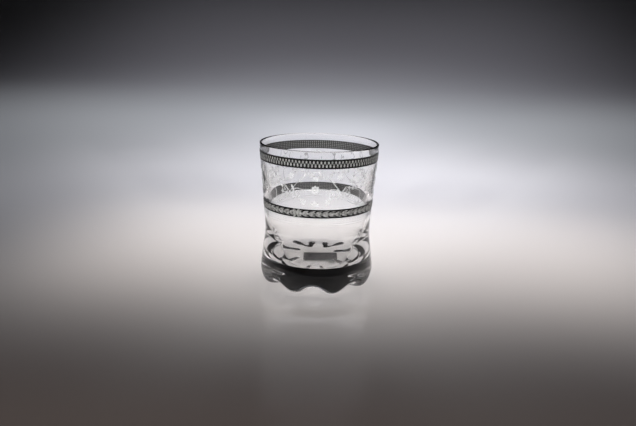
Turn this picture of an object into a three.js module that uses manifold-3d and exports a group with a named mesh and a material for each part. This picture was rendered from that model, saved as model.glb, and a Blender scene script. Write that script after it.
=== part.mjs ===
// Rocks glass: a waisted tumbler on a thick base with eight feet and radial flutes between them.
// Two dark metal bands go round it, with scrollwork between them and a lace edge below,
// and a blank label is stuck under the base.
// Millimetres, +Z up, table at Z = 0. Angles go round from the front (-Y) towards +X.
import * as THREE from "three";
import { mergeVertices } from "three/addons/utils/BufferGeometryUtils.js";
import Module from "manifold-3d";

const wasm = await Module();
wasm.setup();

// Outside of the glass
const height = 100;
const rimRadius = 41.5;
const waistInset = 4.25;
const waistHeight = 36;
const bulgeInset = 1.4;
const bulgeHeight = 10;
const wallSegments = 144;

// Inside of the glass
const rimWall = 1.6;
const lipLean = 2.2;
const bowlTop = 52;
const bowlWall = 2.55;
const floorHeight = 17.2;
const floorInset = 9.25;
const floorCorner = 1;
const floorDish = 0.1;

// Label under the base, stuck on a little off the middle and turned, in degrees
const labelWidth = 27;
const labelDepth = 11;
const labelCorner = 1;
const labelShift = 3.2;
const labelForward = 2.5;
const labelTurn = 4;

// Underside, feet and flutes
const middleRadius = 12;
const middleHeight = 2.1;
const fluteCount = 8;
const fluteDepth = 2.2;
const fluteWiden = 20;
const fluteClear = 3.1;
const footRound = 9.6;
const footWidth = 4;
const footGrind = 0.4;

// Layers on the wall
const layerGap = 0.08;
const layerThickness = 0.15;

// Bands and ornament, measured down from the rim
const rimToBand = 5.1;
const upperBandHeight = 6.3;
const friezeHeight = 27.7;
const lowerBandHeight = 6;
const laceGap = 0.4;
const laceHeight = 4.8;

// Laurel on the lower band
const leafPairs = 48;
const leafMargin = 0.5;
const leafNotch = 1.1;

// Scrollwork in the frieze
const friezeMargin = 2;
const vineWaves = 4;
const vineWidth = 0.9;
const scrollDrop = 1.3;
const scrollTurns = 1.6;
const scrollEye = 1.7;
const scrollSteps = 36;

// Points of the lace edge
const lacePoints = 80;
const laceDepth = 1.4;

const point = (radius, z) => new THREE.Vector2(radius, z);

// Wall curves. The handles are shares of the wall's own rise and lean.
const waistRadius = rimRadius - waistInset;
const bulgeRadius = rimRadius - bulgeInset;
const wallRise = height - waistHeight;
const rimLip = height - rimWall / 2;
const flareDrop = waistHeight - bulgeHeight;

const upperWall = new THREE.CubicBezierCurve(
  point(waistRadius, waistHeight),
  point(waistRadius, waistHeight + 0.3 * wallRise),
  point(rimRadius - 0.65 * waistInset, height - 0.62 * wallRise),
  point(rimRadius, rimLip),
);
const lowerWall = new THREE.CubicBezierCurve(
  point(bulgeRadius, bulgeHeight),
  point(bulgeRadius, bulgeHeight + 0.19 * flareDrop),
  point(waistRadius, waistHeight - 0.12 * flareDrop),
  point(waistRadius, waistHeight),
);

// Outer radius of the wall at a height, found by halving along the wall's curve
function wallRadius(z) {
  const curve = z < waistHeight ? lowerWall : upperWall;
  let low = 0;
  let high = 1;
  for (let i = 0; i < 40; i++) {
    const middle = (low + high) / 2;
    if (curve.getPoint(middle).y < z) low = middle;
    else high = middle;
  }
  return curve.getPoint(low).x;
}

const footOuterRadius = bulgeRadius - footRound;
const footInnerRadius = footOuterRadius - footWidth;
const innerRim = rimRadius - rimWall;
const bowlRadius = waistRadius - bowlWall;
const bowlRise = rimLip - bowlTop;
const floorRadius = waistRadius - floorInset;
const floorMiddle = floorHeight - floorDish;

// Underside between the flat middle and the ring of feet
const slopeRun = footInnerRadius - middleRadius;
const footSlope = new THREE.CubicBezierCurve(
  point(middleRadius, middleHeight),
  point(middleRadius + 0.4 * slopeRun, middleHeight),
  point(footInnerRadius - 0.4 * slopeRun, -footGrind),
  point(footInnerRadius, -footGrind),
);

// Height of the underside at a radius, before the flutes are raised
function slopeHeight(radius) {
  let low = 0;
  let high = 1;
  for (let i = 0; i < 40; i++) {
    const middle = (low + high) / 2;
    if (footSlope.getPoint(middle).x < radius) low = middle;
    else high = middle;
  }
  return footSlope.getPoint(low).y;
}

// Section of the glass from the middle of the underside, up the outside, over the rim and down inside
function glassSection() {
  const pieces = [
    [new THREE.LineCurve(point(0, middleHeight), point(middleRadius, middleHeight)), 1],
    [footSlope, 6],
    [new THREE.LineCurve(point(footInnerRadius, -footGrind), point(footOuterRadius, -footGrind)), 2],
    [
      new THREE.CubicBezierCurve(
        point(footOuterRadius, -footGrind),
        point(footOuterRadius + 0.7 * footRound, -footGrind),
        point(bulgeRadius, 0.36 * bulgeHeight),
        point(bulgeRadius, bulgeHeight),
      ),
      6,
    ],
    [lowerWall, 5],
    [upperWall, 6],
    [new THREE.EllipseCurve(rimRadius - rimWall / 2, rimLip, rimWall / 2, rimWall / 2, 0, Math.PI), 4],
    [
      new THREE.CubicBezierCurve(
        point(innerRim, rimLip),
        point(innerRim - lipLean, rimLip - 0.55 * bowlRise),
        point(bowlRadius, bowlTop + 0.34 * bowlRise),
        point(bowlRadius, bowlTop),
      ),
      5,
    ],
    [
      new THREE.CubicBezierCurve(
        point(bowlRadius, bowlTop),
        point(bowlRadius, bowlTop - 0.52 * (bowlTop - floorHeight)),
        point(floorRadius + floorCorner, floorHeight),
        point(floorRadius, floorHeight),
      ),
      7,
    ],
    [
      new THREE.CubicBezierCurve(
        point(floorRadius, floorHeight),
        point(0.7 * floorRadius, floorHeight),
        point(0.35 * floorRadius, floorMiddle),
        point(0, floorMiddle),
      ),
      2,
    ],
  ];
  const section = [point(0, middleHeight)];
  for (const [curve, steps] of pieces) section.push(...curve.getPoints(steps).slice(1));
  return section;
}

// Underside and lower wall with the flutes raised and the feet ground flat. A flute keeps the level
// of the flat middle, has soft sides where it starts and widens to an arch between two feet.
const fluteTop = floorMiddle - fluteClear;

function flutedHeight(radius, angle, z) {
  const outward = THREE.MathUtils.smoothstep(radius, fluteWiden, footOuterRadius);
  const wallTop = THREE.MathUtils.lerp(0.75, 1.3, outward);
  const wall = (share) => THREE.MathUtils.smoothstep(share, -0.6, wallTop);
  const wave = 0.5 + 0.5 * Math.cos(fluteCount * angle);
  const across = (wall(wave) - wall(0)) / (wall(1) - wall(0));
  const deeper = fluteDepth * THREE.MathUtils.smoothstep(radius, middleRadius, footOuterRadius);
  const underside = radius < footOuterRadius;
  const level = middleHeight + (underside ? -z : footGrind);
  const upward = underside ? 1 : 1 - THREE.MathUtils.smoothstep(z, 0, fluteTop);
  return Math.max(0, z + across * (level + deeper) * upward);
}

// The glass: its section turned round the axis, then fluted below
function glassBody() {
  const geometry = new THREE.LatheGeometry(glassSection(), wallSegments);
  geometry.rotateX(Math.PI / 2);
  const place = geometry.attributes.position;
  for (let i = 0; i < place.count; i++) {
    const radius = Math.hypot(place.getX(i), place.getY(i));
    const angle = Math.atan2(place.getX(i), -place.getY(i));
    const z = place.getZ(i);
    if (z < fluteTop) place.setZ(i, flutedHeight(radius, angle, z));
  }
  return geometry;
}

// A layer all round the wall between two edges, each a height that may change with the angle
function wallRing(segments, lowerEdge, upperEdge, gap) {
  const corners = [point(1, 0), point(2, 0), point(2, 1), point(1, 1), point(1, 0)];
  const geometry = new THREE.LatheGeometry(corners, segments);
  const place = geometry.attributes.position;
  for (let i = 0; i < place.count; i++) {
    const angle = Math.atan2(place.getX(i), place.getZ(i));
    const outside = Math.hypot(place.getX(i), place.getZ(i)) > 1.5;
    const z = place.getY(i) > 0.5 ? upperEdge(angle) : lowerEdge(angle);
    const radius = wallRadius(z) + gap + (outside ? layerThickness : 0);
    place.setXYZ(i, radius * Math.sin(angle), -radius * Math.cos(angle), z);
  }
  return geometry;
}

const upperBandTop = height - rimToBand;
const upperBandBottom = upperBandTop - upperBandHeight;
const lowerBandTop = upperBandBottom - friezeHeight;
const lowerBandBottom = lowerBandTop - lowerBandHeight;
const laceTop = lowerBandBottom - laceGap;
const laceBottom = laceTop - laceHeight;

const band = (bottom, top) => wallRing(wallSegments, () => bottom, () => top, layerGap);

// Laurel: each leaf is narrow at the notch behind it and wide at its tip, and leans along the band
function garland() {
  const middle = (lowerBandBottom + lowerBandTop) / 2;
  const leafTip = lowerBandHeight / 2 - leafMargin;
  const reach = (angle) => {
    const along = THREE.MathUtils.euclideanModulo((angle * leafPairs) / (2 * Math.PI), 1);
    const swell = along < 0.75 ? along / 0.75 : (1 - along) / 0.25;
    return leafNotch + (leafTip - leafNotch) * swell;
  };
  return wallRing(
    4 * leafPairs,
    (angle) => middle - reach(angle),
    (angle) => middle + reach(angle),
    2 * layerGap + layerThickness,
  );
}

// Frieze: a waving vine with a scroll curling off each crest and trough
const friezeMiddle = (upperBandBottom + lowerBandTop) / 2;
const friezeRadius = wallRadius(friezeMiddle);
const vineRise = (friezeHeight - vineWidth) / 2 - friezeMargin;

function vine() {
  const path = (angle) => friezeMiddle + vineRise * Math.cos(vineWaves * angle);
  const half = (angle) => {
    const slope = (vineWaves * vineRise * Math.sin(vineWaves * angle)) / friezeRadius;
    return (vineWidth / 2) * Math.hypot(1, slope);
  };
  return wallRing(
    wallSegments,
    (angle) => path(angle) - half(angle),
    (angle) => path(angle) + half(angle),
    layerGap,
  );
}

// One scroll: a flat ribbon that winds in from the vine, wrapped on the wall.
// Its faces lie just inside the vine's, so that the two join cleanly.
function scroll(index) {
  const side = index % 2 === 0 ? 1 : -1;
  const middleAngle = (index * Math.PI) / vineWaves;
  const outerTurn = vineRise + scrollDrop;
  const inner = [];
  const outer = [];
  for (let i = 0; i <= scrollSteps; i++) {
    const share = i / scrollSteps;
    const turn = Math.PI / 2 - 2 * Math.PI * scrollTurns * share;
    const reach = outerTurn + (scrollEye - outerTurn) * share;
    const half = (vineWidth / 2) * (1 - 0.35 * share);
    inner.push(point((reach - half) * Math.cos(turn), (reach - half) * Math.sin(turn) - scrollDrop));
    outer.push(point((reach + half) * Math.cos(turn), (reach + half) * Math.sin(turn) - scrollDrop));
  }
  const inset = layerThickness / 10;
  const ribbon = new THREE.Shape([...inner, ...outer.reverse()]);
  const depth = layerThickness - 2 * inset;
  const geometry = new THREE.ExtrudeGeometry(ribbon, { depth, bevelEnabled: false });
  const place = geometry.attributes.position;
  for (let i = 0; i < place.count; i++) {
    const angle = middleAngle + (side * place.getX(i)) / friezeRadius;
    const z = friezeMiddle + side * place.getY(i);
    const radius = wallRadius(z) + layerGap + inset + place.getZ(i);
    place.setXYZ(i, radius * Math.sin(angle), -radius * Math.cos(angle), z);
  }
  return geometry;
}

function toSolid(geometry) {
  geometry.deleteAttribute("normal");
  geometry.deleteAttribute("uv");
  const welded = mergeVertices(geometry);
  const mesh = new wasm.Mesh({
    numProp: 3,
    vertProperties: welded.attributes.position.array,
    triVerts: Uint32Array.from(welded.index.array),
  });
  return new wasm.Manifold(mesh);
}

function toGeometry(solid) {
  const mesh = solid.getMesh();
  const geometry = new THREE.BufferGeometry();
  geometry.setAttribute("position", new THREE.BufferAttribute(mesh.vertProperties, 3));
  geometry.setIndex(new THREE.BufferAttribute(mesh.triVerts, 1));
  geometry.computeVertexNormals();
  return geometry;
}

function frieze() {
  let solid = toSolid(vine());
  for (let i = 0; i < 2 * vineWaves; i++) solid = solid.add(toSolid(scroll(i)));
  return toGeometry(solid);
}

// Lace: a straight top edge and a pointed lower one
function lace() {
  const lowerEdge = (angle) => laceBottom + laceDepth * Math.abs(Math.sin((lacePoints * angle) / 2));
  return wallRing(2 * lacePoints, lowerEdge, () => laceTop, layerGap);
}

// Label: a flat sheet with rounded corners under the middle of the base. Its farthest corner lies just
// under the slope to the feet.
function label() {
  const x = labelWidth / 2 - labelCorner;
  const y = labelDepth / 2 - labelCorner;
  const outline = new THREE.Shape();
  outline.absarc(x, -y, labelCorner, -Math.PI / 2, 0);
  outline.absarc(x, y, labelCorner, 0, Math.PI / 2);
  outline.absarc(-x, y, labelCorner, Math.PI / 2, Math.PI);
  outline.absarc(-x, -y, labelCorner, Math.PI, 1.5 * Math.PI);
  const geometry = new THREE.ExtrudeGeometry(outline, {
    depth: layerThickness,
    bevelEnabled: false,
    curveSegments: 4,
  });
  geometry.rotateZ(THREE.MathUtils.degToRad(labelTurn));
  geometry.translate(labelShift, -labelForward, 0);
  const place = geometry.attributes.position;
  let reach = 0;
  for (let i = 0; i < place.count; i++) reach = Math.max(reach, Math.hypot(place.getX(i), place.getY(i)));
  geometry.translate(0, 0, slopeHeight(reach) - layerGap - layerThickness);
  return geometry;
}

const clearGlass = new THREE.MeshStandardMaterial({ color: 0xdfe7ea, roughness: 0.03, metalness: 0 });
const darkMetal = new THREE.MeshStandardMaterial({ color: 0x2b2b2d, roughness: 0.35, metalness: 0.9 });
const paleMetal = new THREE.MeshStandardMaterial({ color: 0xa9a8a6, roughness: 0.35, metalness: 0.9 });
const satinWhite = new THREE.MeshStandardMaterial({ color: 0xf1f1ee, roughness: 0.8, metalness: 0 });
const greyFoil = new THREE.MeshStandardMaterial({ color: 0x8b8b8c, roughness: 0.5, metalness: 0.3 });

const rocksGlass = new THREE.Group();
rocksGlass.name = "rocks_glass";

function addPiece(name, geometry, material) {
  const mesh = new THREE.Mesh(geometry, material);
  mesh.name = name;
  rocksGlass.add(mesh);
}

addPiece("glass_body", glassBody(), clearGlass);
addPiece("upper_band", band(upperBandBottom, upperBandTop), darkMetal);
addPiece("lower_band", band(lowerBandBottom, lowerBandTop), darkMetal);
addPiece("lower_garland", garland(), paleMetal);
addPiece("frieze_vine", frieze(), satinWhite);
addPiece("lace_border", lace(), satinWhite);
addPiece("base_label", label(), greyFoil);

export default rocksGlass;
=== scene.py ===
import math
import bpy
import bmesh
from mathutils import Matrix, Vector


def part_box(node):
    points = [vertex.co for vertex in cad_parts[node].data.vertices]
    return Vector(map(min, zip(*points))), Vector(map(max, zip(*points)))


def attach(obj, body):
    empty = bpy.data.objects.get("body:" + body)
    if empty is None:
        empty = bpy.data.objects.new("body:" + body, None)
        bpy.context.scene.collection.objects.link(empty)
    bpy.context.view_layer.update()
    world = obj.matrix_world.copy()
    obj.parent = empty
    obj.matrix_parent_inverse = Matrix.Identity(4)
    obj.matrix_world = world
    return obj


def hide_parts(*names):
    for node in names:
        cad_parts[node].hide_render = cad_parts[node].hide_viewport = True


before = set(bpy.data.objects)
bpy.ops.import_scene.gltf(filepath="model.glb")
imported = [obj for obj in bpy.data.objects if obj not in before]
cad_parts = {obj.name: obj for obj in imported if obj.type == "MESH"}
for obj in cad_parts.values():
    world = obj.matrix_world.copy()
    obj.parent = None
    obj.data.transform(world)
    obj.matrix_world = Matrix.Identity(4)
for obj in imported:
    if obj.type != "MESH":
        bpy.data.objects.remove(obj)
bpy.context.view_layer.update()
print("frame loaded")

# A rocks glass, drawn in millimetres. Angles go round from the front (-Y) towards +X.
mm = 0.001


# lowest and highest corner of a node of the frame, in millimetres
def boxOf(node):
    low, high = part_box(node)
    return low / mm, high / mm


_, glassHigh = boxOf("glass_body")

# pulls are the shares of a stretch at which the handles of its curve stand
glassShape = {
    "height": glassHigh.z, "rimRadius": glassHigh.x,
    "waistInset": 4.25, "waistHeight": 36, "bulgeInset": 1.4, "bulgeHeight": 10,
    "rimWall": 1.6, "lipLean": 2.2, "bowlTop": 52, "bowlWall": 2.55,
    "floorHeight": 17.2, "floorInset": 9.25, "floorCorner": 1, "floorDish": 0.1,
    "middleRadius": 12, "middleHeight": 2.1,
    "fluteCount": 8, "fluteDepth": 2.2, "fluteWiden": 20, "fluteTop": 14,
    "fluteLow": -0.6, "fluteTops": (0.75, 1.3),
    "footRound": 9.6, "footWidth": 4, "footGrind": 0.4,
    "flarePulls": (0.19, 0.12), "upperPulls": (0.3, 0.65, 0.62), "slopePull": 0.4, "footPulls": (0.7, 0.36),
    "lipPulls": (0.55, 0.34), "bowlPull": 0.52, "floorPulls": (0.7, 0.35),
    "around": 320, "tableSteps": (200, 400),
    "steps": {
        "middle": 6, "slope": 18, "feet": 8, "footRound": 26, "flare": 26, "upper": 34,
        "lip": 12, "neck": 30, "bowl": 44, "floor": 12,
    },
}
waistRadius = glassShape["rimRadius"] - glassShape["waistInset"]
bulgeRadius = glassShape["rimRadius"] - glassShape["bulgeInset"]
footOuter = bulgeRadius - glassShape["footRound"]
rimLip = glassShape["height"] - glassShape["rimWall"] / 2


# points along a curve from a to d, with handles b and c
def bend(a, b, c, d, steps):
    points = []
    for i in range(steps + 1):
        t = i / steps
        s = 1 - t
        points.append((
            s ** 3 * a[0] + 3 * s * s * t * b[0] + 3 * s * t * t * c[0] + t ** 3 * d[0],
            s ** 3 * a[1] + 3 * s * s * t * b[1] + 3 * s * t * t * c[1] + t ** 3 * d[1],
        ))
    return points


def smooth(value, start, end):
    t = min(1, max(0, (value - start) / (end - start)))
    return t * t * (3 - 2 * t)


def mix(a, b, share):
    return a + (b - a) * share


# outside of the wall, below and above the waist
def flareCurve(steps):
    g = glassShape
    drop = g["waistHeight"] - g["bulgeHeight"]
    low, high = g["flarePulls"]
    return bend(
        (bulgeRadius, g["bulgeHeight"]), (bulgeRadius, g["bulgeHeight"] + low * drop),
        (waistRadius, g["waistHeight"] - high * drop), (waistRadius, g["waistHeight"]), steps,
    )


def upperCurve(steps):
    g = glassShape
    rise = g["height"] - g["waistHeight"]
    low, inset, high = g["upperPulls"]
    return bend(
        (waistRadius, g["waistHeight"]), (waistRadius, g["waistHeight"] + low * rise),
        (g["rimRadius"] - inset * g["waistInset"], g["height"] - high * rise),
        (g["rimRadius"], rimLip), steps,
    )


flareSteps, upperSteps = glassShape["tableSteps"]
wallTable = flareCurve(flareSteps)[:-1] + upperCurve(upperSteps)


# outer radius of the wall at a height
def wallRadius(z):
    low, high = 0, len(wallTable) - 1
    while high - low > 1:
        middle = (low + high) // 2
        if wallTable[middle][1] <= z:
            low = middle
        else:
            high = middle
    (r0, z0), (r1, z1) = wallTable[low], wallTable[high]
    return r0 + (r1 - r0) * (z - z0) / (z1 - z0)


# a point on the wall, standing proud of it
def onWall(angle, z, proud):
    radius = wallRadius(z) + proud
    return Vector((radius * math.sin(angle), -radius * math.cos(angle), z)) * mm


# from the middle of the underside, up the outside, over the rim and down inside
def glassSection():
    g = glassShape
    steps = g["steps"]
    foot = -g["footGrind"]
    footInner = footOuter - g["footWidth"]
    middle = (g["middleRadius"], g["middleHeight"])
    slopePull = g["slopePull"] * (footInner - g["middleRadius"])
    footOut, footUp = g["footPulls"]
    lipDown, bowlUp = g["lipPulls"]
    floorOut, floorIn = g["floorPulls"]
    innerRim = g["rimRadius"] - g["rimWall"]
    bowlRadius = waistRadius - g["bowlWall"]
    bowlRise = rimLip - g["bowlTop"]
    bowlDrop = g["bowlTop"] - g["floorHeight"]
    floorRadius = waistRadius - g["floorInset"]
    floorMiddle = g["floorHeight"] - g["floorDish"]
    lipAngles = [math.pi * k / steps["lip"] for k in range(steps["lip"] + 1)]
    middleShares = [k / steps["middle"] for k in range(steps["middle"] + 1)]
    feetShares = [k / steps["feet"] for k in range(steps["feet"] + 1)]
    runs = [
        [(middle[0] * share, middle[1]) for share in middleShares],
        bend(
            middle, (middle[0] + slopePull, middle[1]),
            (footInner - slopePull, foot), (footInner, foot), steps["slope"],
        ),
        [(footInner + g["footWidth"] * share, foot) for share in feetShares],
        bend(
            (footOuter, foot), (footOuter + footOut * g["footRound"], foot),
            (bulgeRadius, footUp * g["bulgeHeight"]), (bulgeRadius, g["bulgeHeight"]), steps["footRound"],
        ),
        flareCurve(steps["flare"]),
        upperCurve(steps["upper"]),
        [
            (g["rimRadius"] - g["rimWall"] / 2 * (1 - math.cos(a)), rimLip + g["rimWall"] / 2 * math.sin(a))
            for a in lipAngles
        ],
        bend(
            (innerRim, rimLip), (innerRim - g["lipLean"], rimLip - lipDown * bowlRise),
            (bowlRadius, g["bowlTop"] + bowlUp * bowlRise), (bowlRadius, g["bowlTop"]), steps["neck"],
        ),
        bend(
            (bowlRadius, g["bowlTop"]), (bowlRadius, g["bowlTop"] - g["bowlPull"] * bowlDrop),
            (floorRadius + g["floorCorner"], g["floorHeight"]), (floorRadius, g["floorHeight"]),
            steps["bowl"],
        ),
        bend(
            (floorRadius, g["floorHeight"]), (floorOut * floorRadius, g["floorHeight"]),
            (floorIn * floorRadius, floorMiddle), (0, floorMiddle), steps["floor"],
        ),
    ]
    section = list(runs[0])
    for run in runs[1:]:
        section.extend(run[1:])
    return section


# raises the flutes, which widen outwards, and grinds the feet flat
def fluted(radius, angle, z):
    g = glassShape
    if z > g["fluteTop"]:
        return z
    outward = smooth(radius, g["fluteWiden"], footOuter)
    wallTop = mix(*g["fluteTops"], outward)
    wave = 0.5 + 0.5 * math.cos(g["fluteCount"] * angle)
    valley, wall, crest = (smooth(share, g["fluteLow"], wallTop) for share in (0, wave, 1))
    across = (wall - valley) / (crest - valley)
    deeper = g["fluteDepth"] * smooth(radius, g["middleRadius"], footOuter)
    underside = radius < footOuter
    level = g["middleHeight"] + (-z if underside else g["footGrind"])
    upward = 1 if underside else 1 - smooth(z, 0, g["fluteTop"])
    return max(0, z + across * (level + deeper) * upward)


# makes the mesh a piece of the object, in the place of the named nodes of the frame
def finishPiece(name, builder, material, slotName, *nodes):
    bmesh.ops.recalc_face_normals(builder, faces=builder.faces)
    mesh = bpy.data.meshes.new(name)
    builder.to_mesh(mesh)
    builder.free()
    mesh.materials.append(material)
    piece = bpy.data.objects.new(name, mesh)
    bpy.context.scene.collection.objects.link(piece)
    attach(piece, "root")
    for node in nodes:
        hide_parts(node)
    return piece


def newMaterial(name):
    material = bpy.data.materials.new(name)
    material.use_nodes = True
    tree = material.node_tree
    return material, tree.nodes, tree.links, tree.nodes["Principled BSDF"]


# noise in object coordinates
def addNoise(nodes, links, scale, detail):
    place = nodes.new("ShaderNodeTexCoord")
    noise = nodes.new("ShaderNodeTexNoise")
    noise.inputs["Scale"].default_value = scale
    noise.inputs["Detail"].default_value = detail
    links.new(place.outputs["Object"], noise.inputs["Vector"])
    return noise


# a ramp between two stops of (position, colour)
def addRamp(nodes, links, source, stops):
    ramp = nodes.new("ShaderNodeValToRGB")
    for element, (position, colour) in zip(ramp.color_ramp.elements, stops):
        element.position = position
        element.color = (*colour, 1)
    links.new(source, ramp.inputs["Fac"])
    return ramp


def addBump(nodes, links, source, shader, strength, distance):
    bump = nodes.new("ShaderNodeBump")
    bump.inputs["Strength"].default_value = strength
    bump.inputs["Distance"].default_value = distance
    links.new(source, bump.inputs["Height"])
    links.new(bump.outputs["Normal"], shader.inputs["Normal"])


# a finish that wanders between colours, with a fine grain
def grainyMaterial(name, look):
    material, nodes, links, shader = newMaterial(name)
    noise = addNoise(nodes, links, look["grain"], look["detail"])
    ramp = addRamp(nodes, links, noise.outputs["Fac"], look["stops"])
    links.new(ramp.outputs["Color"], shader.inputs["Base Color"])
    shader.inputs["Metallic"].default_value = look["metallic"]
    shader.inputs["Roughness"].default_value = look["rough"]
    addBump(nodes, links, noise.outputs["Fac"], shader, *look["bump"])
    return material


clearGlassLook = {"tint": (0.998, 0.999, 0.998, 1), "rough": 0.0, "ior": 1.5, "through": 1.0}


def clearGlass():
    material, _, _, shader = newMaterial("clear_glass_polished")
    shader.inputs["Base Color"].default_value = clearGlassLook["tint"]
    shader.inputs["Roughness"].default_value = clearGlassLook["rough"]
    shader.inputs["IOR"].default_value = clearGlassLook["ior"]
    shader.inputs["Transmission Weight"].default_value = clearGlassLook["through"]
    return material


def makeGlass():
    around = glassShape["around"]
    builder = bmesh.new()
    rings = []
    for radius, z in glassSection():
        if radius < 1e-6:
            rings.append([builder.verts.new((0, 0, z * mm))])
            continue
        ring = []
        for k in range(around):
            angle = 2 * math.pi * k / around
            lifted = fluted(radius, angle, z)
            ring.append(builder.verts.new((
                radius * math.sin(angle) * mm, -radius * math.cos(angle) * mm, lifted * mm,
            )))
        rings.append(ring)
    for low, high in zip(rings, rings[1:]):
        for k in range(around):
            n = (k + 1) % around
            if len(low) == 1:
                builder.faces.new((low[0], high[n], high[k]))
            elif len(high) == 1:
                builder.faces.new((low[k], low[n], high[0]))
            else:
                builder.faces.new((low[k], low[n], high[n], high[k]))
    for face in builder.faces:
        face.smooth = True
    glass = finishPiece("glass_body_clear", builder, clearGlass(), "clear_glass", "glass_body")
    # without a shadow of its own, the glass lets the lamps light what is inside and under it
    glass.visible_shadow = False


makeGlass()
print("glass body made")


# a patch on the wall, closed all round: rows of (angle, height) points between two distances off the wall
def addPatch(builder, rows, low, high, crown=0.0, closed=False):
    wide = len(rows[0])
    loops = []
    for row in rows:
        loop = []
        for k, (angle, z) in enumerate(row):
            rise = crown * (1 - abs(2 * k / (wide - 1) - 1))
            loop.append(builder.verts.new(onWall(angle, z, high + rise)))
        for angle, z in reversed(row):
            loop.append(builder.verts.new(onWall(angle, z, low)))
        loops.append(loop)
    pairs = list(zip(loops, loops[1:]))
    if closed:
        pairs.append((loops[-1], loops[0]))
    for first, second in pairs:
        for k in range(2 * wide):
            n = (k + 1) % (2 * wide)
            builder.faces.new((first[k], first[n], second[n], second[k]))
    if not closed:
        builder.faces.new(loops[0])
        builder.faces.new(loops[-1])


# a ribbon along a path of (distance round, height) points, with half its width at each
def addRibbon(builder, path, halves, radius, low, high, crown=0.0, closed=False):
    count = len(path)
    rows = []
    for i, ((along, z), half) in enumerate(zip(path, halves)):
        before = path[i - 1] if closed or i > 0 else path[0]
        after = path[(i + 1) % count] if closed or i < count - 1 else path[-1]
        run = after[0] - before[0]
        rise = after[1] - before[1]
        size = math.hypot(run, rise)
        rows.append([
            ((along - k * half * rise / size) / radius, z + k * half * run / size)
            for k in ((-1, 0, 1) if crown else (-1, 1))
        ])
    addPatch(builder, rows, low, high, crown, closed)


# half the width of a leaf or a dot at its ends; a swell below 1 makes a leaf widest before its middle
endHalf = 0.02
leafSwell = 0.8


# a leaf from its base towards a heading, which may turn along it
def addLeaf(builder, base, heading, turn, length, width, radius, low, high, crown):
    steps = 10
    path = [base]
    for i in range(steps):
        way = heading + turn * (i + 0.5) / steps
        last = path[-1]
        path.append((last[0] + length / steps * math.cos(way), last[1] + length / steps * math.sin(way)))
    shares = [(i / steps) ** leafSwell for i in range(steps + 1)]
    halves = [endHalf + width / 2 * math.sin(math.pi * share) for share in shares]
    addRibbon(builder, path, halves, radius, low, high, crown)


def addDot(builder, middle, size, radius, low, high, crown):
    steps = 8
    shares = [math.cos(math.pi * i / steps) for i in range(steps + 1)]
    path = [(middle[0] - size * share, middle[1]) for share in shares]
    halves = [endHalf + size * math.sqrt(max(0, 1 - share * share)) for share in shares]
    addRibbon(builder, path, halves, radius, low, high, crown)


# a plain ring round the wall between two heights
def addRing(builder, bottom, top, low, high, around=288, rows=6):
    heights = [mix(bottom, top, k / rows) for k in range(rows + 1)]
    columns = [[(2 * math.pi * i / around, z) for z in heights] for i in range(around)]
    addPatch(builder, columns, low, high, closed=True)


# how far each layer stands off the wall, how deep relief is sunk, and how far a fine line rises
layers = {"lining": 0.03, "gap": 0.09, "face": 0.23, "relief": 0.36, "sunk": 0.03, "line": 0.04}

darkMetalLook = {
    "grain": 900, "detail": 4, "metallic": 0.8, "rough": 0.38, "bump": (0.1, 0.0001),
    "stops": ((0.35, (0.004, 0.004, 0.0045)), (0.7, (0.012, 0.012, 0.013))),
}
teethLook = {
    "grain": 900, "detail": 6, "metallic": 0.2, "rough": 0.45, "bump": (0.3, 0.0001),
    "stops": ((0.3, (0.12, 0.1195, 0.117)), (0.65, (0.42, 0.418, 0.41))),
}
leavesLook = {
    "grain": 700, "detail": 6, "metallic": 0.2, "rough": 0.45, "bump": (0.3, 0.0001),
    "stops": ((0.3, (0.045, 0.0445, 0.043)), (0.65, (0.38, 0.375, 0.362))),
}
liningLook = {
    "dotsRound": 168, "dotRows": 1.26, "metallic": 0.1, "rough": 0.5,
    "stops": ((0.1, (0.02, 0.02, 0.02)), (0.7, (0.24, 0.24, 0.24))),
}


# back of the fired metal, seen through the glass: a fine grid of dots
def metalLining():
    material, nodes, links, shader = newMaterial("metal_lining")
    place = nodes.new("ShaderNodeTexCoord")
    parts = nodes.new("ShaderNodeSeparateXYZ")
    links.new(place.outputs["Object"], parts.inputs["Vector"])

    def join(operation, *values):
        node = nodes.new("ShaderNodeMath")
        node.operation = operation
        for socket, value in zip(node.inputs, values):
            if isinstance(value, (int, float)):
                socket.default_value = value
            else:
                links.new(value, socket)
        return node.outputs["Value"]

    # each wave goes from 0 to 1
    def wave(value, times):
        return join("MULTIPLY_ADD", join("SINE", join("MULTIPLY", value, times)), 0.5, 0.5)

    angle = join("ARCTAN2", parts.outputs["X"], parts.outputs["Y"])
    dots = join(
        "MULTIPLY", wave(angle, liningLook["dotsRound"]),
        wave(parts.outputs["Z"], 2 * math.pi / (liningLook["dotRows"] * mm)),
    )
    ramp = addRamp(nodes, links, dots, liningLook["stops"])
    links.new(ramp.outputs["Color"], shader.inputs["Base Color"])
    shader.inputs["Metallic"].default_value = liningLook["metallic"]
    shader.inputs["Roughness"].default_value = liningLook["rough"]
    return material


dark = grainyMaterial("dark_fired_metal", darkMetalLook)
lining = metalLining()


# the dark face of a band and the lining behind it
def makeBandRings(node):
    low, high = boxOf(node)
    parts = (("_dark", dark, "gap", "face"), ("_lining", lining, "lining", "gap"))
    for part, material, inner, outer in parts:
        builder = bmesh.new()
        addRing(builder, low.z, high.z, layers[inner], layers[outer])
        finishPiece(node + part, builder, material, "dark_metal", node)
    return low, high


# a fine raised line round a band
def addLine(builder, middle, width):
    under, over = layers["face"] - layers["sunk"], layers["face"] + layers["line"]
    addRing(builder, middle - width / 2, middle + width / 2, under, over, rows=1)


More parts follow.
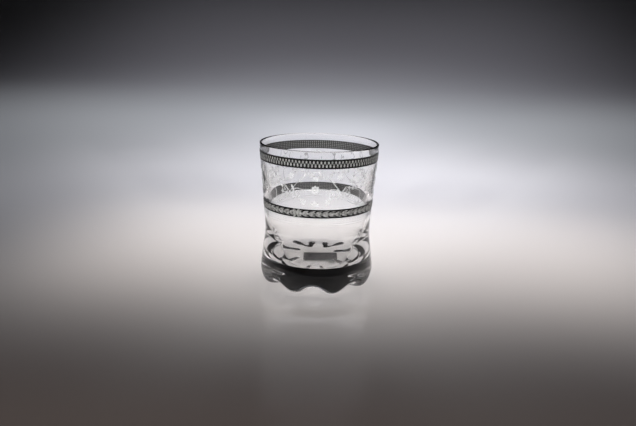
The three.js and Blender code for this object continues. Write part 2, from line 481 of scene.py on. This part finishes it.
upperBand = {
    "teeth": 108, "toothShare": 0.48, "toothGap": 0.2, "lowerTooth": 2.0, "upperTooth": 1.5,
    "toothOutline": ((0, 0.5), (0.15, 0.9), (0.65, 1), (0.88, 0.8), (1, 0.4)),
    "lineHeight": 3.35, "lineWidth": 0.2,
}


def makeUpperBand():
    b = upperBand
    low, _ = makeBandRings("upper_band")
    step = 2 * math.pi / b["teeth"]
    half = step * b["toothShare"] / 2
    line = low.z + b["lineHeight"]
    builder = bmesh.new()
    addLine(builder, line, b["lineWidth"])
    for side, size, shift in ((-1, b["lowerTooth"], 0), (1, b["upperTooth"], 0.5)):
        start = line + side * (b["lineWidth"] / 2 + b["toothGap"])
        for k in range(b["teeth"]):
            angle = (k + shift) * step
            rows = []
            for share, wide in b["toothOutline"]:
                z = start + side * size * share
                rows.append([(angle - half * wide, z), (angle + half * wide, z)])
            addPatch(builder, rows, layers["face"] - layers["sunk"], layers["relief"])
    teeth = grainyMaterial("pale_relief_teeth", teethLook)
    finishPiece("upper_band_teeth", builder, teeth, "pale_metal", "upper_band")


makeUpperBand()

# each row of leaves: steps back, share of the lean, of the length and of the width
lowerBand = {
    "leafPairs": 54, "leafLength": 5.4, "leafWidth": 1.3, "leafLean": 28, "leafTurn": -12,
    "leafRows": ((0, 1, 1, 1), (0.5, 0.8, 0.5, 0.7)), "leafCrown": 0.12, "leafDrop": 0.08, "stem": 0.6,
    "ties": 4, "tieAngle": -18.7, "tieWidth": 1.2, "tieReach": 1.9, "tieRise": 0.1, "tieCrown": 0.05,
}


def makeLowerBand():
    b = lowerBand
    low, high = makeBandRings("lower_band")
    middle = (low.z + high.z) / 2
    radius = wallRadius(middle)
    pitch = 2 * math.pi * radius / b["leafPairs"]
    under, over = layers["face"] - layers["sunk"], layers["relief"]
    turn = math.radians(b["leafTurn"])
    builder = bmesh.new()
    addLine(builder, middle, b["stem"])
    for k in range(b["leafPairs"]):
        along = k * pitch
        for side in (-1, 1):
            for back, lean, length, width in b["leafRows"]:
                addLeaf(
                    builder, (along - back * pitch, middle),
                    side * math.radians(lean * b["leafLean"]), side * turn,
                    length * b["leafLength"], width * b["leafWidth"],
                    radius, under, over - b["leafDrop"] * back, b["leafCrown"],
                )
    reach = (high.z - low.z) / 2
    shares = (-1, -0.5, 0, 0.5, 1)
    halves = [b["tieWidth"] / 2] * len(shares)
    for k in range(b["ties"]):
        along = math.radians(b["tieAngle"] + 360 * k / b["ties"]) * radius
        for side in (-1, 1):
            path = [(along + share * b["tieReach"], middle + side * share * reach) for share in shares]
            addRibbon(builder, path, halves, radius, layers["face"], over + b["tieRise"], b["tieCrown"])
    leaves = grainyMaterial("pale_relief_leaves", leavesLook)
    finishPiece("lower_garland_leaves", builder, leaves, "pale_metal", "lower_garland")


makeLowerBand()
print("bands made")

satinLook = {
    "colour": (0.8, 0.8, 0.797, 1), "cover": 0.46, "through": 0.42, "rough": 0.6,
    "grain": 2500, "detail": 3, "bump": (0.4, 0.0001),
}


def satinGlass():
    material, nodes, links, shader = newMaterial("satin_etched")
    shader.inputs["Base Color"].default_value = satinLook["colour"]
    shader.inputs["Alpha"].default_value = satinLook["cover"]
    shader.inputs["Transmission Weight"].default_value = satinLook["through"]
    shader.inputs["Roughness"].default_value = satinLook["rough"]
    noise = addNoise(nodes, links, satinLook["grain"], satinLook["detail"])
    addBump(nodes, links, noise.outputs["Fac"], shader, *satinLook["bump"])
    return material


satin = satinGlass()

# blooms and curls: how far to the side of a crest, how far up, and their size
frieze = {
    "waves": 4, "waveSteps": 64, "stem": 0.45, "tip": 0.3, "crown": 0.1, "leafLength": 3.4, "leafWidth": 1.25,
    "vineLeaves": 14, "vineLeaf": 0.8, "vineLean": 0.7, "vineTurn": 0.5, "slopeReach": 0.1,
    "blooms": (
        (0, -0.3, 3.4), (0, 7.2, 2.0),
        (16.2, 8.4, 2.4), (-16.2, 8.4, 2.4), (8.2, -8.8, 2.4), (-8.2, -8.8, 2.4),
    ),
    "petals": 8, "petalStart": 0.28, "petalLength": 0.72, "petalWidth": 0.45, "bloomEye": 0.23,
    "palmette": 5, "palmetteFan": 28, "palmetteTurn": 0.3, "palmetteLeaf": 4.6, "palmetteWidth": 1.3,
    "palmetteShrink": 0.25,
    "curls": ((12.0, -3.2, 3.6), (21.0, -1.2, 2.7)), "curlTurns": 1.6, "curlSteps": 60,
    "curlEnd": 0.22, "curlEye": 0.16, "curlSprays": (4, 12, 20), "curlSpray": 0.75,
    "bridgePull": 0.3, "bridgeSag": 1, "bridgeReach": 1, "bridgeSteps": 8,
    "spiral": 6.6, "spiralRise": 5.2, "spiralTurns": 2.3,
    "spiralSprays": range(3, 28, 3), "spiralSpray": 0.85, "spiralClear": 2.5,
    "sprayFan": ((-0.75, 0.7), (0, 1), (0.75, 0.7)), "sprayLean": 0.9, "sprayTurn": 0.6,
    "stalkFan": (-1.1, -0.55, 0.55, 1.1), "stalkTurn": 0.4,
    "stalkLow": (2.5, 3), "stalkHigh": (3, -0.5), "stalkSteps": 10,
}


def makeFrieze():
    low, high = boxOf("frieze_vine")
    f = frieze
    middle = (low.z + high.z) / 2
    radius = wallRadius(middle)
    rise = (high.z - low.z - f["stem"]) / 2
    period = 2 * math.pi * radius / f["waves"]
    near, far = layers["gap"], layers["face"]
    builder = bmesh.new()

    def leaf(base, way, turn, length, width):
        addLeaf(builder, base, way, turn, length, width, radius, near, far, f["crown"])

    def dot(centre, size):
        addDot(builder, centre, size, radius, near, far, f["crown"])

    def stem(path, closed=False):
        addRibbon(builder, path, [f["stem"] / 2] * len(path), radius, near, far, closed=closed)

    # three leaves from one point, the outer two shorter
    def spray(base, way, turn, size):
        for fan, share in f["sprayFan"]:
            leaf(base, way + fan, turn, f["leafLength"] * size * share, f["leafWidth"] * size)

    # a spiral line, winding in from its outer end
    def curl(centre, size, start, turns, hand):
        path = []
        halves = []
        for i in range(f["curlSteps"] + 1):
            share = i / f["curlSteps"]
            turn = start - hand * 2 * math.pi * turns * share
            reach = size * mix(1, f["curlEnd"], share)
            path.append((centre[0] + reach * math.cos(turn), centre[1] + reach * math.sin(turn)))
            halves.append(mix(f["stem"], f["tip"], share) / 2)
        addRibbon(builder, path, halves, radius, near, far)
        dot(centre, f["curlEye"] * size)
        return path

    # direction of a path at one of its points
    def heading(path, i):
        return math.atan2(path[i + 1][1] - path[i - 1][1], path[i + 1][0] - path[i - 1][0])

    # a vine in waves, with leaves to both sides
    def vineHeight(along):
        return middle + rise * math.cos(2 * math.pi * along / period)

    vineSteps = f["waveSteps"] * f["waves"]
    places = [period * f["waves"] * i / vineSteps for i in range(vineSteps)]
    stem([(along, vineHeight(along)) for along in places], closed=True)
    reach = f["slopeReach"]
    for k in range(f["vineLeaves"] * f["waves"]):
        along = period * (k + 0.5) / f["vineLeaves"]
        way = math.atan2(vineHeight(along + reach) - vineHeight(along - reach), 2 * reach)
        side = 1 if k % 2 == 0 else -1
        base = (along, vineHeight(along))
        if base[1] > low.z + f["leafLength"]:
            length = f["leafLength"] * f["vineLeaf"]
            leaf(base, way + side * f["vineLean"], side * f["vineTurn"], length, f["leafWidth"])

    for k in range(f["waves"]):
        # round each crest flowers, and under it leaves in a fan
        crest = k * period
        for away, up, size in f["blooms"]:
            start = f["petalStart"] * size
            for n in range(f["petals"]):
                way = 2 * math.pi * n / f["petals"]
                base = (crest + away + start * math.cos(way), middle + up + start * math.sin(way))
                leaf(base, way, 0, f["petalLength"] * size, f["petalWidth"] * size)
            dot((crest + away, middle + up), f["bloomEye"] * size)
        for n in range(f["palmette"]):
            fan = (n - (f["palmette"] - 1) / 2) * math.radians(f["palmetteFan"])
            length = f["palmetteLeaf"] * (1 - f["palmetteShrink"] * abs(fan))
            leaf((crest, low.z), math.pi / 2 + fan, f["palmetteTurn"] * fan, length, f["palmetteWidth"])
        # curls to both sides, each joined to the one before
        for hand in (-1, 1):
            away, up, size = f["blooms"][0]
            last = (crest + away + hand * size, middle + up)
            for away, up, size in f["curls"]:
                centre = (crest + hand * away, middle + up)
                path = curl(centre, size, math.pi / 2, f["curlTurns"], hand)
                tip = path[0]
                leave = (mix(last[0], tip[0], f["bridgePull"]), last[1] - f["bridgeSag"])
                arrive = (tip[0] - hand * f["bridgeReach"], tip[1])
                stem(bend(last, leave, arrive, tip, f["bridgeSteps"]))
                for i in f["curlSprays"]:
                    way = heading(path, i) + hand * f["sprayLean"]
                    spray(path[i], way, -hand * f["sprayTurn"], f["curlSpray"])
                last = (centre[0] + hand * size, centre[1])
        # over each trough a larger spiral on a stalk
        centre = (crest + period / 2, middle + f["spiralRise"])
        path = curl(centre, f["spiral"], -math.pi / 2, f["spiralTurns"], 1)
        tip = path[0]
        foot = (centre[0], vineHeight(centre[0]))
        leave = (foot[0] + f["stalkLow"][0], foot[1] + f["stalkLow"][1])
        arrive = (tip[0] + f["stalkHigh"][0], tip[1] + f["stalkHigh"][1])
        stem(bend(foot, leave, arrive, tip, f["stalkSteps"]))
        for i in f["spiralSprays"]:
            if path[i][1] < high.z - f["spiralClear"]:
                spray(path[i], heading(path, i) + f["sprayLean"], -f["sprayTurn"], f["spiralSpray"])
        for fan in f["stalkFan"]:
            leaf(foot, math.pi / 2 + fan, f["stalkTurn"] * fan, f["leafLength"], f["leafWidth"])
    finishPiece("frieze_vine_satin", builder, satin, "satin_white", "frieze_vine")


makeFrieze()

lace = {
    "rings": 100, "ringSize": 0.95, "ringGap": 0.35, "ringWidth": 0.28, "ringSteps": 14,
    "scallop": 1.0, "scallopGap": 0.3, "scallopSteps": 8, "lineWidth": 0.2, "lineInset": 0.1,
}


def makeLace():
    low, high = boxOf("lace_border")
    b = lace
    radius = wallRadius((low.z + high.z) / 2)
    pitch = 2 * math.pi * radius / b["rings"]
    near, far = layers["gap"], layers["face"]
    half = b["ringWidth"] / 2
    ringZ = high.z - b["ringSize"] - b["ringGap"]
    scallopZ = ringZ - b["ringSize"] - b["scallopGap"]
    ringTurns = [2 * math.pi * i / b["ringSteps"] for i in range(b["ringSteps"])]
    arcTurns = [math.pi * i / b["scallopSteps"] for i in range(b["scallopSteps"] + 1)]
    builder = bmesh.new()
    for k in range(b["rings"]):
        along = k * pitch
        size = b["ringSize"]
        circle = [(along + size * math.cos(a), ringZ + size * math.sin(a)) for a in ringTurns]
        addRibbon(builder, circle, [half] * len(circle), radius, near, far, closed=True)
        arc = [(along - pitch / 2 * math.cos(a), scallopZ - b["scallop"] * math.sin(a)) for a in arcTurns]
        addRibbon(builder, arc, [half] * len(arc), radius, near, far)
    for z in (high.z - b["lineInset"], low.z + b["lineInset"]):
        addRing(builder, z - b["lineWidth"] / 2, z + b["lineWidth"] / 2, near, far, rows=1)
    finishPiece("lace_border_rings", builder, satin, "satin_white", "lace_border")


makeLace()
print("satin ornament made")

labelLook = {
    "width": 27, "depth": 11, "corner": 1.0, "cornerSteps": 6, "turn": 4,
    "grain": 260, "detail": 5, "metallic": 0.2, "rough": 0.6, "bump": (0.3, 0.0002),
    "stops": ((0.35, (0.07, 0.07, 0.072)), (0.65, (0.13, 0.13, 0.13))),
}


# a blank foil with rounded corners
def makeLabel():
    low, high = boxOf("base_label")
    b = labelLook
    centre = (low + high) / 2
    turned = Matrix.Rotation(math.radians(b["turn"]), 2)
    outline = []
    for quarter, (right, back) in enumerate(((1, -1), (1, 1), (-1, 1), (-1, -1))):
        for step in range(b["cornerSteps"] + 1):
            turn = math.pi / 2 * (quarter - 1 + step / b["cornerSteps"])
            x = right * (b["width"] / 2 - b["corner"]) + b["corner"] * math.cos(turn)
            y = back * (b["depth"] / 2 - b["corner"]) + b["corner"] * math.sin(turn)
            outline.append(turned @ Vector((x, y)) + centre.xy)
    builder = bmesh.new()
    bottom = [builder.verts.new(Vector((*corner, low.z)) * mm) for corner in outline]
    top = [builder.verts.new(Vector((*corner, high.z)) * mm) for corner in outline]
    builder.faces.new(bottom)
    builder.faces.new(top)
    for k in range(len(outline)):
        n = (k + 1) % len(outline)
        builder.faces.new((bottom[k], bottom[n], top[n], top[k]))
    foil = grainyMaterial("grey_foil_blank", labelLook)
    finishPiece("base_label_foil", builder, foil, "grey_foil", "base_label")


makeLabel()
print("label made")

stageLook = {
    "colour": (0.8, 0.8, 0.79, 1), "rough": 0.14, "gloss": 0.16, "drop": 0.0002, "half": 4.0, "front": -3.0,
    "coveStart": 1.5, "coveRadius": 1.5, "coveTurn": 50, "coveSteps": 16,
}


# floor and low backdrop in one sweep
def makeFloor():
    b = stageLook
    sweep = [(b["front"], -b["drop"]), (0.0, -b["drop"]), (b["coveStart"], -b["drop"])]
    for i in range(1, b["coveSteps"] + 1):
        turn = math.radians(b["coveTurn"]) * i / b["coveSteps"]
        sweep.append((
            b["coveStart"] + b["coveRadius"] * math.sin(turn),
            b["coveRadius"] * (1 - math.cos(turn)) - b["drop"],
        ))
    builder = bmesh.new()
    left = [builder.verts.new((-b["half"], y, z)) for y, z in sweep]
    right = [builder.verts.new((b["half"], y, z)) for y, z in sweep]
    for i in range(len(sweep) - 1):
        face = builder.faces.new((left[i], right[i], right[i + 1], left[i + 1]))
        face.smooth = True
    mesh = bpy.data.meshes.new("floor")
    builder.to_mesh(mesh)
    builder.free()
    material, nodes, links, shader = newMaterial("floor_pale")
    nodes.remove(shader)
    flat = nodes.new("ShaderNodeBsdfDiffuse")
    flat.inputs["Color"].default_value = b["colour"]
    sheen = nodes.new("ShaderNodeBsdfGlossy")
    sheen.inputs["Roughness"].default_value = b["rough"]
    both = nodes.new("ShaderNodeMixShader")
    both.inputs["Fac"].default_value = b["gloss"]
    links.new(flat.outputs["BSDF"], both.inputs[1])
    links.new(sheen.outputs["BSDF"], both.inputs[2])
    links.new(both.outputs["Shader"], nodes["Material Output"].inputs["Surface"])
    mesh.materials.append(material)
    floor = bpy.data.objects.new("floor", mesh)
    bpy.context.scene.collection.objects.link(floor)


makeFloor()

# panels over the floor fade its light to the front and the back, halo and glow brighten it behind the glass,
# and the fills light the ornament
lampLooks = {
    "front_panel": {
        "power": 0.108, "colour": (1.0, 0.735, 0.626), "wide": 0.8, "deep": 0.2, "spread": 90,
        "place": (0, -0.35, 0.4), "aim": (0, -0.35, 0),
    },
    "near_panel": {
        "power": 0.236, "colour": (1.0, 0.894, 0.837), "wide": 0.5, "deep": 0.24, "spread": 36.6,
        "place": (0.05, 0.075, 0.422), "aim": (0.05, 0.075, 0),
    },
    "middle_panel": {
        "power": 0.695, "colour": (0.946, 0.916, 1.0), "wide": 0.45, "deep": 0.3, "spread": 70,
        "place": (0.05, 0.33, 0.6), "aim": (0.05, 0.33, 0),
    },
    "back_panel": {
        "power": 2.7, "colour": (0.877, 0.912, 1.0), "wide": 0.8, "deep": 0.342, "spread": 68.2,
        "place": (0, 0.886, 1.709), "aim": (0, 0.886, 0),
    },
    "far_panel": {
        "power": 0.9, "colour": (0.877, 0.857, 1.0), "wide": 1.6, "deep": 0.866, "spread": 60.6,
        "place": (0, 1.818, 1.34), "aim": (0, 1.818, 0),
    },
    "halo": {
        "power": 0.32, "colour": (0.923, 0.911, 1.0), "wide": 0.1, "deep": 0.3, "spread": 150,
        "place": (0, 0.72, 0.3), "aim": (0, 0.72, 0),
    },
    "glow": {
        "power": 0.003, "colour": (1.0, 0.98, 0.94), "wide": 0.03, "deep": 0.12, "spread": 16,
        "place": (0, 0.15, 0.4), "aim": (0, 0.15, 0),
    },
    "left_fill": {
        "power": 0.06, "colour": (1, 1, 1), "wide": 0.06, "deep": 0.06, "spread": 10,
        "place": (-0.5, -1.1, 0.28), "aim": (0, 0, 0.075),
    },
    "right_fill": {
        "power": 0.048, "colour": (1, 1, 1), "wide": 0.06, "deep": 0.06, "spread": 10,
        "place": (0.6, -1.1, 0.28), "aim": (0, 0, 0.075),
    },
}

worldLook = {"colour": (0.004, 0.004, 0.0043, 1), "strength": 1.0}


def makeLamps():
    for name, look in lampLooks.items():
        data = bpy.data.lights.new(name, "AREA")
        data.energy = look["power"]
        data.color = look["colour"]
        data.shape = "RECTANGLE"
        data.size = look["wide"]
        data.size_y = look["deep"]
        data.spread = math.radians(look["spread"])
        lamp = bpy.data.objects.new(name, data)
        lamp.location = look["place"]
        way = Vector(look["aim"]) - Vector(look["place"])
        lamp.rotation_euler = way.to_track_quat("-Z", "Y").to_euler()
        lamp.visible_camera = False
        lamp.visible_transmission = False
        lamp.visible_glossy = False
        bpy.context.scene.collection.objects.link(lamp)
    world = bpy.data.worlds.new("studio")
    bpy.context.scene.world = world
    world.use_nodes = True
    sky = world.node_tree.nodes["Background"]
    sky.inputs["Color"].default_value = worldLook["colour"]
    sky.inputs["Strength"].default_value = worldLook["strength"]


makeLamps()
print("stage and light made")

cameraView = {
    "lens": 41.04, "sensor": 36, "distance": 0.5, "height": 0.1796, "azimuth": 2.75, "pitch": 14.66,
    "roll": 1.44, "slide": 0.00028,
}


def makeCamera():
    v = cameraView
    a, p, r = (math.radians(v[key]) for key in ("azimuth", "pitch", "roll"))
    forward = Vector((-math.sin(a) * math.cos(p), math.cos(a) * math.cos(p), -math.sin(p)))
    right = Vector((math.cos(a), math.sin(a), 0))
    up = right.cross(forward)
    tiltedRight = right * math.cos(r) + up * math.sin(r)
    tiltedUp = up * math.cos(r) - right * math.sin(r)
    place = Vector((math.sin(a), -math.cos(a), 0)) * v["distance"] + right * v["slide"]
    place.z = v["height"]
    data = bpy.data.cameras.new("camera")
    data.lens = v["lens"]
    data.sensor_width = v["sensor"]
    camera = bpy.data.objects.new("camera", data)
    camera.matrix_world = Matrix((
        (tiltedRight.x, tiltedUp.x, -forward.x, place.x),
        (tiltedRight.y, tiltedUp.y, -forward.y, place.y),
        (tiltedRight.z, tiltedUp.z, -forward.z, place.z),
        (0, 0, 0, 1),
    ))
    bpy.context.scene.collection.objects.link(camera)
    bpy.context.scene.camera = camera


makeCamera()
bpy.context.scene.view_settings.view_transform = "Standard"
